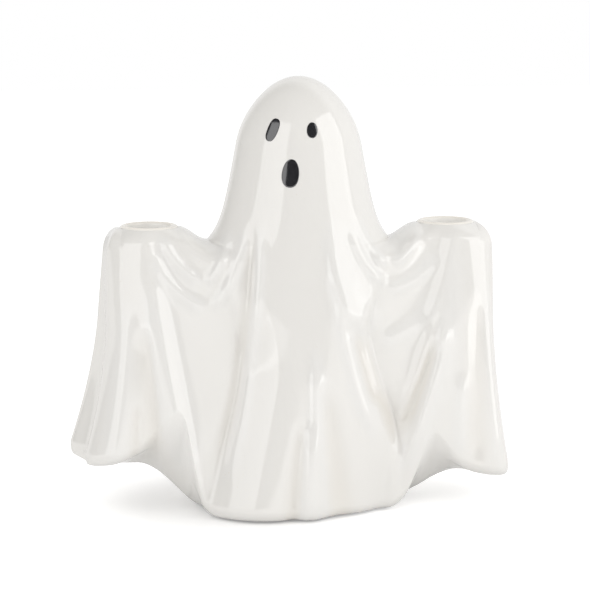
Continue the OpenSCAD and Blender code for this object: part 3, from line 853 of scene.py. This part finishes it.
def mark_mesh(cloth, name):
    """An inlay of black glaze that follows the face and is rounded over its edge."""
    mark = MARKS[name]
    middle_z = cloth.crown_height - mark.drop
    base = face_point(cloth, mark.place, middle_z)[0]
    out = face_normal(cloth, mark.place, middle_z)[0]
    across = np.array([-out[1], out[0], 0.0])
    across /= np.linalg.norm(across)
    up = np.cross(out, across)
    a = np.linspace(0, 2 * np.pi, MARK_SEGMENTS, endpoint=False)
    u = rounded_power(np.cos(a), 2 / mark.square) * mark.width / 2
    v = rounded_power(np.sin(a), 2 / mark.square) * mark.height / 2
    u = u * (1 - mark.narrow * v / (mark.height / 2))
    lean = math.radians(-mark.lean)
    u, v = u * math.cos(lean) - v * math.sin(lean), u * math.sin(lean) + v * math.cos(lean)
    part = Mesh()
    loop = None
    for share in np.arange(MARK_RINGS, 0, -1) / MARK_RINGS:
        points = mark_points(cloth, base + share * (u[:, None] * across + v[:, None] * up),
                             share, mark.width)
        if loop is None:
            edge = loop = part.add(points)
        else:
            loop = part.ring(loop, points)
    part.fan(loop, mark_points(cloth, base[None], 0.0, mark.width)[0])
    back = part.ring(edge[::-1], part.at(edge[::-1]) - out * MARK_DEPTH[0])
    part.fan(back, base - out * MARK_DEPTH[1])
    return part.build(name + "_glaze", cloth.head_offset)


def mark_points(cloth, target, share, width):
    """Points over the face, at a share of the way from a mark's middle to its edge."""
    from_edge = (1 - share) * width / 2
    rise = mix(*MARK_RISE, quarter(from_edge / MARK_EDGE)) + MARK_CROWN * (1 - share ** 2)
    face = face_point(cloth, target[:, 0], target[:, 2])
    return face + face_normal(cloth, target[:, 0], target[:, 2]) * rise


# Node helpers


def feed(tree, made, values):
    """Links sockets, or the first ones of other nodes, to a node's inputs, or sets their
    numbers, vectors and colours."""
    for key, value in values.items():
        socket = made.inputs[key]
        if hasattr(value, "outputs"):
            value = value.outputs[0]
        if hasattr(value, "links"):
            tree.links.new(value, socket)
        elif socket.type == "RGBA":
            socket.default_value = (*value, 1.0)
        else:
            socket.default_value = value


def node(tree, kind, place, values=None, **settings):
    """A new node, with its own settings and what its inputs are fed with."""
    made = tree.nodes.new(kind)
    made.location = place
    for key, value in settings.items():
        setattr(made, key, value)
    feed(tree, made, values or {})
    return made


def calculate(tree, place, operation, *values):
    """One step of arithmetic on sockets and numbers."""
    return node(tree, "ShaderNodeMath", place, dict(enumerate(values)),
                operation=operation)


def new_material(name):
    material = bpy.data.materials.new(name)
    material.use_nodes = True
    tree = material.node_tree
    tree.nodes.clear()
    shader = node(tree, "ShaderNodeBsdfPrincipled", (600, 0))
    node(tree, "ShaderNodeOutputMaterial", (900, 0), {"Surface": shader})
    return material, tree, shader


def object_place(tree):
    return node(tree, "ShaderNodeTexCoord", (-1500, 0)).outputs["Object"]


def ramp(tree, place, source, low, high, *more):
    """A ramp of greys or colours, from (position, value) pairs in rising order."""
    made = node(tree, "ShaderNodeValToRGB", place, {"Fac": source})
    elements = made.color_ramp.elements
    stops = (low, high, *more)
    while len(elements) < len(stops):
        elements.new(0.5)
    for element, (position, value) in zip(elements, stops):
        element.position = position
        element.color = (*value, 1.0) if hasattr(value, "__len__") else (value, value, value, 1.0)
    return made


def noise(tree, place, source, scale, detail, roughness):
    return node(tree, "ShaderNodeTexNoise", place, {
        "Vector": source, "Scale": scale, "Detail": detail, "Roughness": roughness})


def mix_colour(tree, place, factor, first, second):
    return node(tree, "ShaderNodeMix", place, {0: factor, 6: first, 7: second},
                data_type="RGBA").outputs[2]


def bump(tree, place, height, distance, strength, **under):
    """A bump, over the one that is given as Normal."""
    return node(tree, "ShaderNodeBump", place, {
        "Height": height, "Distance": distance, "Strength": strength, **under})


def toned(value, share):
    return [share * v for v in value]


# Materials


def white_glaze(glaze):
    """Glossy white glaze, darker in the valleys of the folds as painted shade, with faint
    mottling, a few pinholes, slow waves and a very slight orange peel."""
    material, tree, shader = new_material("white_glaze")
    place = object_place(tree)
    cloud = noise(tree, (-1200, 300), place, 22.0, 3.0, 0.55)
    grain = noise(tree, (-1200, 0), place, 900.0, 2.0, 0.6)
    waves = noise(tree, (-1200, -560), place, 45.0, 1.0, 0.4)
    peel = noise(tree, (-1200, -300), place, 160.0, 1.0, 0.4)
    fold = node(tree, "ShaderNodeAttribute", (-1200, 560), attribute_name="fold_height")
    # Painted shade: where the fold height falls below zero, in the valleys of the folds, the glaze
    # takes the darker shaded tone.
    depth = node(tree, "ShaderNodeMapRange", (-950, 560), {
        "Value": fold.outputs["Fac"], "From Min": 0.6, "From Max": -2.4})
    mottle = ramp(tree, (-950, 300), cloud, (0.35, 0.0), (0.75, 1.0))
    mottled = mix_colour(tree, (-700, 300), mottle, glaze.white, toned(glaze.white, 0.985))
    shaded_glaze = mix_colour(tree, (-450, 300), depth, mottled, glaze.shaded_glaze)
    speck = ramp(tree, (-950, 0), grain, (0.70, 0.0), (0.80, 1.0))
    wavy = bump(tree, (-450, -400), waves, 0.0004, 0.10)
    feed(tree, shader, {
        "Base Color": mix_colour(tree, (-200, 300), speck, shaded_glaze, toned(glaze.rim, 0.9)),
        "Roughness": ramp(tree, (-450, -100), cloud, (0.3, 0.055), (0.7, 0.085)),
        "Normal": bump(tree, (-200, -400), peel, 0.0001, 0.10, Normal=wavy),
        "IOR": 1.8,
    })
    return material


def socket_glaze(glaze):
    """The same glaze in the sockets, painted lighter than on the body as painted light in the bore,
    thinner at the lip and darker at the floor as painted shade.
    """
    material, tree, shader = new_material("socket_glaze")
    place = object_place(tree)
    split = node(tree, "ShaderNodeSeparateXYZ", (-1250, 200), {"Vector": place})
    level = node(tree, "ShaderNodeMapRange", (-1000, 200), {
        "Value": split.outputs["Z"], "From Min": 0.124, "From Max": 0.146})
    cloud = noise(tree, (-1250, -100), place, 60.0, 3.0, 0.55)
    # Down the bore: the darker tone at the floor is painted shade and the lighter socket tone above
    # it painted light; the rim tone at the lip is the glaze thinning over the edge.
    wall = ramp(tree, (-750, 200), level, (0.0, glaze.shaded_glaze), (0.4, glaze.socket),
                (0.93, glaze.socket), (1.0, glaze.rim))
    # Faint random streaks of the darker tone.
    streak = ramp(tree, (-750, -100), cloud, (0.4, 0.0), (0.8, 0.3))
    feed(tree, shader, {
        "Base Color": mix_colour(tree, (-300, 200), streak, wall, glaze.shaded_glaze),
        "Roughness": ramp(tree, (-450, -300), cloud, (0.3, 0.06), (0.7, 0.11)),
        "Normal": bump(tree, (-200, -400), cloud, 0.0003, 0.15),
        "IOR": 1.5,
    })
    return material


def clouded_material(name, cloud, grain, tones, sheen, relief, **settings):
    """Tones and sheen go over into each other in clouds, over a fine relief."""
    material, tree, shader = new_material(name)
    place = object_place(tree)
    cloud = noise(tree, (-1200, 100), place, *cloud)
    grain = noise(tree, (-1200, -400), place, *grain)
    feed(tree, shader, {
        "Base Color": ramp(tree, (-900, 100), cloud, *tones),
        "Roughness": ramp(tree, (-900, -200), cloud, *sheen),
        "Normal": bump(tree, (-400, -400), grain, 0.0001, relief), **settings,
    })
    return material


def black_glaze(glaze):
    """Thick glossy black glaze with a faint bloom and the marks of the brush."""
    return clouded_material(
        "black_glaze", cloud=(240.0, 4.0, 0.6), grain=(420.0, 1.0, 0.4),
        tones=((0.35, glaze.black), (0.8, toned(glaze.black, 2.2))),
        sheen=((0.3, 0.06), (0.75, 0.12)), relief=0.10, IOR=2.3)


def pad_rubber(glaze):
    """Matt, slightly clouded silicone rubber with a fine grain."""
    return clouded_material(
        "pad_rubber", cloud=(120.0, 3.0, 0.6), grain=(1400.0, 2.0, 0.6),
        tones=((0.3, toned(glaze.rubber, 0.9)), (0.8, glaze.rubber)),
        sheen=((0.3, 0.5), (0.75, 0.65)), relief=0.3)


# Geometry Nodes


def new_tree(name, **inputs):
    """A tree with named inputs, given with their kinds."""
    tree = bpy.data.node_groups.new(name, "GeometryNodeTree")
    for label, kind in {"Geometry": "Geometry", **inputs}.items():
        tree.interface.new_socket(
            label.replace("_", " "), in_out="INPUT", socket_type="NodeSocket" + kind)
    tree.interface.new_socket("Geometry", in_out="OUTPUT", socket_type="NodeSocketGeometry")
    return tree, node(tree, "NodeGroupInput", (-1200, 0)).outputs


def finish_tree(tree, entry, source):
    """Smooth shading, real geometry and the material, at the end of a tree."""
    smooth = node(tree, "GeometryNodeSetShadeSmooth", (300, 150), {"Geometry": source})
    real = node(tree, "GeometryNodeRealizeInstances", (500, 150), {"Geometry": smooth})
    paint = node(tree, "GeometryNodeSetMaterial", (700, 150), {
        "Geometry": real, "Material": entry["Material"]})
    node(tree, "NodeGroupOutput", (900, 0), {"Geometry": paint})
    return tree


def grown(name, mesh, tree, **values):
    """The result of a Geometry Nodes tree on a mesh, as a plain mesh."""
    holder = bpy.data.objects.new(name + "_base", mesh)
    bpy.context.scene.collection.objects.link(holder)
    modifier = holder.modifiers.new("grow", "NODES")
    modifier.node_group = tree
    for item in tree.interface.items_tree:
        key = item.name.replace(" ", "_")
        if item.in_out == "INPUT" and key in values:
            modifier[item.identifier] = values[key]
    graph = bpy.context.evaluated_depsgraph_get()
    made = bpy.data.meshes.new_from_object(holder.evaluated_get(graph))
    made.name = name + "_mesh"
    if signed_volume(made) < 0:
        made.flip_normals()
    holder.modifiers.remove(modifier)
    bpy.data.objects.remove(holder)
    return made


# Points of a turned piece that are nearer to each other than this, in metres, become one
WELD = 0.00001


def lathe_tree():
    """Turns a profile, given as points in the XZ plane, about an upright axis."""
    tree, entry = new_tree("turned_piece", Segments="Int", Axis="Vector", Material="Material")
    profile, segments = entry["Geometry"], entry["Segments"]
    count = node(tree, "GeometryNodeAttributeDomainSize", (-950, -200), {
        "Geometry": profile}).outputs["Point Count"]
    grid = node(tree, "GeometryNodeMeshGrid", (-650, 150), {
        "Vertices X": calculate(tree, (-900, 150), "ADD", segments, 1.0), "Vertices Y": count})
    index = node(tree, "GeometryNodeInputIndex", (-950, -450))
    row = calculate(tree, (-700, -250), "MODULO", index, count)
    column = calculate(tree, (-850, -600), "DIVIDE", index, count)
    column = calculate(tree, (-700, -450), "FLOOR", column)
    share = calculate(tree, (-550, -450), "DIVIDE", column, segments)
    angle = calculate(tree, (-400, -450), "MULTIPLY", share, 2 * math.pi)
    where = node(tree, "GeometryNodeInputPosition", (-700, -100))
    corner = node(tree, "GeometryNodeSampleIndex", (-450, -150), {
        "Geometry": profile, "Value": where, "Index": row}, data_type="FLOAT_VECTOR")
    turned = node(tree, "ShaderNodeVectorRotate", (-250, -150), {
        "Vector": corner, "Angle": angle}, rotation_type="Z_AXIS")
    placed = node(tree, "GeometryNodeSetPosition", (-250, 150), {
        "Geometry": grid, "Position": turned, "Offset": entry["Axis"]})
    weld = node(tree, "GeometryNodeMergeByDistance", (50, 150), {
        "Geometry": placed, "Distance": WELD})
    return finish_tree(tree, entry, weld)


def pads_tree():
    """Copies of a pad on the corners of a sheared rectangle."""
    tree, entry = new_tree("foot_pads", Span_X="Float", Span_Y="Float", Shear="Float",
                           Centre="Vector", Material="Material")
    corners = node(tree, "GeometryNodeMeshGrid", (-950, 300), {
        "Vertices X": 2, "Vertices Y": 2, "Size X": entry["Span X"], "Size Y": entry["Span Y"]})
    where = node(tree, "GeometryNodeInputPosition", (-950, 600))
    split = node(tree, "ShaderNodeSeparateXYZ", (-800, 600), {"Vector": where})
    shift = calculate(tree, (-650, 600), "MULTIPLY", split.outputs["X"], entry["Shear"])
    shift = node(tree, "ShaderNodeCombineXYZ", (-500, 600), {"Y": shift})
    moved = node(tree, "GeometryNodeSetPosition", (-650, 300), {
        "Geometry": corners, "Offset": shift})
    copies = node(tree, "GeometryNodeInstanceOnPoints", (-350, 150), {
        "Points": moved, "Instance": entry["Geometry"]})
    placed = node(tree, "GeometryNodeTransform", (-100, 150), {
        "Geometry": copies, "Translation": entry["Centre"]})
    return finish_tree(tree, entry, placed)


def turned_mesh(name, profile, axis, segments, material):
    """A closed solid, turned from a profile of (radius, height) in millimetres."""
    points = bpy.data.meshes.new(name + "_profile")
    points.from_pydata([(r * MM, 0, z * MM) for r, z in profile], [], [])
    return grown(name, points, lathe_tree(), Segments=segments, Axis=axis, Material=material)


# Turned pieces, in millimetres: chamfer of a cup's base, width of the slope outside on its
# lip, width and height of the rounding inside, and the steps of both. The rounding of a
# cup's floor and of a pad's edge is given by distances from the side and heights.
CUP_CHAMFER = 0.6
LIP_SLOPE = 1.85
LIP_ROUND = (1.7, 1.6)
LIP_STEPS = 6
CUP_COVE = ((0.0, 2.0), (0.35, 0.8), (1.4, 0.1), (3.0, 0.0))
PAD_EDGE = ((1.6, 0.0), (0.6, 0.12), (0.15, 0.4))
CUP_SEGMENTS, PAD_SEGMENTS = 96, 48


def cup_profile(cups, top):
    """Half section of a cup, from the middle of its base to the middle of its floor."""
    bore, wall, drop = cups.candle_diameter / MM / 2, cups.wall / MM, Cloth.lip_drop
    floor = top - cups.candle_depth / MM
    outer, base, ridge = bore + wall, floor - wall, bore + LIP_ROUND[0]
    slope = [(ridge + LIP_SLOPE * q, top - drop * q * q)
             for q in np.linspace(1, 0, LIP_STEPS + 2)]
    inner = [(ridge - LIP_ROUND[0] * math.sin(t), top - LIP_ROUND[1] * (1 - math.cos(t)))
             for t in np.linspace(0, math.pi / 2, LIP_STEPS + 1)[1:]]
    cove = [(bore - inwards, floor + up) for inwards, up in CUP_COVE]
    return [(0, base), (outer - CUP_CHAMFER, base), (outer, base + CUP_CHAMFER),
            (outer, top - drop), *slope, *inner, *cove, (0, floor)]


# Operators


class GHOST_OT_body(bpy.types.Operator):
    """Make the glazed body of the ghost"""

    bl_idname = "ghost.body"
    bl_label = "Ghost Body"

    def execute(self, context):
        mesh = ghost_mesh(Cloth(context.scene))
        mesh.materials.append(white_glaze(context.scene.ghost_glaze))
        new_piece("glazed_ghost", mesh, ["ghost_body"])
        return {"FINISHED"}


class GHOST_OT_cups(bpy.types.Operator):
    """Make the two candle sockets"""

    bl_idname = "ghost.cups"
    bl_label = "Candle Sockets"

    def execute(self, context):
        figure = context.scene.ghost_figure
        profile = cup_profile(context.scene.ghost_cups, figure.hand_height / MM)
        material = socket_glaze(context.scene.ghost_glaze)
        for name, sign in (("left", -1), ("right", 1)):
            axis = (sign * figure.hand_spacing / 2 + figure.head_offset, 0.0, 0.0)
            mesh = turned_mesh(name + "_socket", profile, axis, CUP_SEGMENTS, material)
            new_piece(name + "_candle_socket", mesh, [name + "_candle_cup"])
        return {"FINISHED"}


class GHOST_OT_face(bpy.types.Operator):
    """Make the inlaid eyes and mouth"""

    bl_idname = "ghost.face"
    bl_label = "Eyes and Mouth"

    def execute(self, context):
        cloth = Cloth(context.scene)
        material = black_glaze(context.scene.ghost_glaze)
        for name in MARKS:
            mesh = mark_mesh(cloth, name)
            mesh.materials.append(material)
            new_piece(name + "_inlay", mesh, [name])
        return {"FINISHED"}


class GHOST_OT_pads(bpy.types.Operator):
    """Make the four foot pads"""

    bl_idname = "ghost.pads"
    bl_label = "Foot Pads"

    def execute(self, context):
        cups = context.scene.ghost_cups
        radius, high = cups.pad_diameter / MM / 2, cups.pad_height / MM
        edge = [(radius - inwards, up) for inwards, up in PAD_EDGE]
        rubber = pad_rubber(context.scene.ghost_glaze)
        one = turned_mesh("foot_pad", [(0, 0), *edge, (radius, high), (0, high)],
                          (0.0, 0.0, 0.0), PAD_SEGMENTS, rubber)
        left, right, back = [(low + top) / 2 for low, top in (LEFT_PAD, RIGHT_PAD, BACK_PAD)]
        mesh = grown(
            "foot_pads", one, pads_tree(), Span_X=right.x - left.x, Span_Y=back.y - left.y,
            Shear=(right.y - left.y) / (right.x - left.x),
            Centre=((left.x + right.x) / 2, (right.y + back.y) / 2, 0.0), Material=rubber)
        new_piece("foot_pads", mesh, [
            "front_left_foot_pad", "front_right_foot_pad", "back_left_foot_pad",
            "back_right_foot_pad"])
        return {"FINISHED"}


class GHOST_OT_stage(bpy.types.Operator):
    """Make the floor, the softboxes, the world and the camera"""

    bl_idname = "ghost.stage"
    bl_label = "Stage"

    def execute(self, context):
        scene = context.scene
        floor_sheet(scene)
        scene.world = studio_world()
        softbox("left_softbox", azimuth=-46.0, width=0.79, height=1.1, power=3.0)
        softbox("right_softbox", azimuth=57.0, width=0.74, height=1.2, power=4.3)
        product_camera(scene)
        scene.view_settings.view_transform = "Standard"
        return {"FINISHED"}


# The stage


def way_to(azimuth, elevation):
    """Direction from the figure, with azimuth 0 straight in front of it."""
    a, e = math.radians(azimuth), math.radians(elevation)
    return Vector((math.sin(a) * math.cos(e), -math.cos(a) * math.cos(e), math.sin(e)))


def aim(thing, target, way, distance):
    """Puts a lamp or a camera at a distance from its target and turns it back to it."""
    bpy.context.scene.collection.objects.link(thing)
    thing.location = target + way * distance
    thing.rotation_euler = way.to_track_quat("Z", "Y").to_euler()


# Softboxes stand at this elevation and distance from this height of the figure
BOX_ELEVATION, BOX_DISTANCE, BOX_TARGET = 14.0, 1.0, 0.11


def softbox(name, azimuth, width, height, power):
    data = bpy.data.lights.new(name, "AREA")
    data.shape = "RECTANGLE"
    data.size, data.size_y, data.energy = width, height, power
    lamp = bpy.data.objects.new(name, data)
    aim(lamp, Vector((0, 0, BOX_TARGET)), way_to(azimuth, BOX_ELEVATION), BOX_DISTANCE)
    lamp.visible_camera = False


# The camera: its angles, its distance from the middle of the figure's height that it looks
# at, its lens and sensor in millimetres, and its shift as a share of the picture's width
CAMERA_AZIMUTH, CAMERA_ELEVATION, CAMERA_DISTANCE = -8.0, 9.5, 1.1
CAMERA_TARGET = 0.1084
LENS, SENSOR = 131.4, 36.0
SHIFT = -3.5 / 590


def product_camera(scene):
    data = bpy.data.cameras.new("camera")
    data.lens, data.sensor_width, data.shift_x = LENS, SENSOR, SHIFT
    camera = bpy.data.objects.new("camera", data)
    aim(camera, Vector((scene.ghost_figure.head_offset, 0, CAMERA_TARGET)),
        way_to(CAMERA_AZIMUTH, CAMERA_ELEVATION), CAMERA_DISTANCE)
    scene.camera = camera


# Light of the room, and how white its walls are in front of the figure and behind it,
# where the glaze mirrors them
ROOM_LIGHT, ROOM_TINT = 0.77, (1.0, 0.99, 0.975)
WALLS_FRONT, WALLS_BACK = 0.07, 0.95
WALLS_WAY = (0.574, 0.819, 0.0)

# The floor goes over to white by light of its own, which rises from low to high between two
# distances from a place below the figure and a little to its left, in metres. Its weaker glow
# near that place is a painted shadow round the foot, deeper on the left. The glaze mirrors
# only a share of it.
FLOOR_HALF = 3.0
FLOOR_SHADOW_CENTRE = (-0.03, 0.0, 0.0)
LIFT_NEAR, LIFT_FAR = 0.04, 0.085
LIFT_LOW, LIFT_HIGH = 0.2, 0.42
MIRRORED_LIFT = 0.2


def seen_directly(tree, mirrored=1.0):
    """1 for camera and transmission rays, and the share mirrored for glossy rays."""
    path = node(tree, "ShaderNodeLightPath", (-700, 0)).outputs
    glossy = calculate(tree, (-600, -150), "MULTIPLY", path["Is Glossy Ray"], mirrored)
    first = calculate(tree, (-450, 0), "MAXIMUM", path["Is Camera Ray"], glossy)
    return calculate(tree, (-250, 0), "MAXIMUM", first, path["Is Transmission Ray"])


def studio_walls(tree):
    """White for the camera. Mirrored in the glaze, the walls are white behind the figure
    and to its right, and dark in front, where the photographer stands, and to its left."""
    way = node(tree, "ShaderNodeTexCoord", (-1300, -400)).outputs["Generated"]
    facing = node(tree, "ShaderNodeVectorMath", (-1100, -400), {0: way, 1: WALLS_WAY},
                  operation="DOT_PRODUCT").outputs["Value"]
    walls = ramp(tree, (-900, -400), facing, (0.20, WALLS_FRONT), (0.55, WALLS_BACK))
    path = node(tree, "ShaderNodeLightPath", (-900, -150)).outputs
    return mix_colour(tree, (-500, -300), path["Is Camera Ray"], walls, (1.0, 1.0, 1.0))


def studio_world():
    """A room of even light, which is white where it is seen or mirrored."""
    world = bpy.data.worlds.new("studio")
    world.use_nodes = True
    tree = world.node_tree
    tree.nodes.clear()
    room = node(tree, "ShaderNodeBackground", (0, 100), {
        "Color": ROOM_TINT, "Strength": ROOM_LIGHT})
    white = node(tree, "ShaderNodeBackground", (0, -100), {
        "Color": studio_walls(tree), "Strength": 1.0})
    pick = node(tree, "ShaderNodeMixShader", (300, 0), {
        0: seen_directly(tree), 1: room, 2: white})
    node(tree, "ShaderNodeOutputWorld", (600, 0), {"Surface": pick})
    return world


def floor_paint(tone):
    """Pale floor that glows, more away from the figure, and so goes over to the white of the room;
    its weaker glow near the figure is painted shadow.
    """
    material, tree, shader = new_material("floor_paint")
    place = node(tree, "ShaderNodeTexCoord", (-700, -400)).outputs["Object"]
    away = node(tree, "ShaderNodeVectorMath", (-500, -400), {0: place, 1: FLOOR_SHADOW_CENTRE},
                operation="DISTANCE").outputs["Value"]
    lift = node(tree, "ShaderNodeMapRange", (-250, -400), {
        "Value": away, "From Min": LIFT_NEAR, "From Max": LIFT_FAR, "To Min": LIFT_LOW,
        "To Max": LIFT_HIGH}, interpolation_type="SMOOTHSTEP")
    feed(tree, shader, {
        "Base Color": tone, "Roughness": 0.9, "Specular IOR Level": 0.0,
        "Emission Color": (1.0, 1.0, 1.0),
        "Emission Strength": calculate(
            tree, (300, -200), "MULTIPLY", seen_directly(tree, MIRRORED_LIFT), lift),
    })
    return material


def floor_sheet(scene):
    half = FLOOR_HALF
    mesh = bpy.data.meshes.new("floor")
    corners = [(-half, -half, 0), (half, -half, 0), (half, half, 0), (-half, half, 0)]
    mesh.from_pydata(corners, [], [(0, 1, 2, 3)])
    mesh.materials.append(floor_paint(scene.ghost_glaze.floor))
    floor = bpy.data.objects.new("floor", mesh)
    scene.collection.objects.link(floor)


class GHOST_PT_panel(bpy.types.Panel):
    """Sizes, colours and pieces of the ghost"""

    bl_label = "Ghost Candle Holder"
    bl_idname = "GHOST_PT_panel"
    bl_space_type = "VIEW_3D"
    bl_region_type = "UI"
    bl_category = "Ghost"

    def draw(self, context):
        for group, attribute in GROUPS.items():
            box = self.layout.box()
            box.label(text=group.__doc__)
            for name in group.__annotations__:
                box.prop(getattr(context.scene, attribute), name)
        for operator in OPERATORS:
            self.layout.operator(operator.bl_idname)


GROUPS = {
    GhostFigure: "ghost_figure", GhostSleeves: "ghost_sleeves", GhostFolds: "ghost_folds",
    GhostCups: "ghost_cups", GhostGlaze: "ghost_glaze",
}
OPERATORS = (GHOST_OT_body, GHOST_OT_cups, GHOST_OT_face, GHOST_OT_pads, GHOST_OT_stage)


def register():
    for group, name in GROUPS.items():
        bpy.utils.register_class(group)
        setattr(bpy.types.Scene, name, bpy.props.PointerProperty(type=group))
    for cls in (*OPERATORS, GHOST_PT_panel):
        bpy.utils.register_class(cls)


def unregister():
    for cls in (GHOST_PT_panel, *reversed(OPERATORS)):
        bpy.utils.unregister_class(cls)
    for group, name in reversed(list(GROUPS.items())):
        delattr(bpy.types.Scene, name)
        bpy.utils.unregister_class(group)


def main():
    register()
    bpy.ops.ghost.body()
    bpy.ops.ghost.cups()
    bpy.ops.ghost.face()
    bpy.ops.ghost.pads()
    bpy.ops.ghost.stage()


if __name__ == "__main__":
    main()
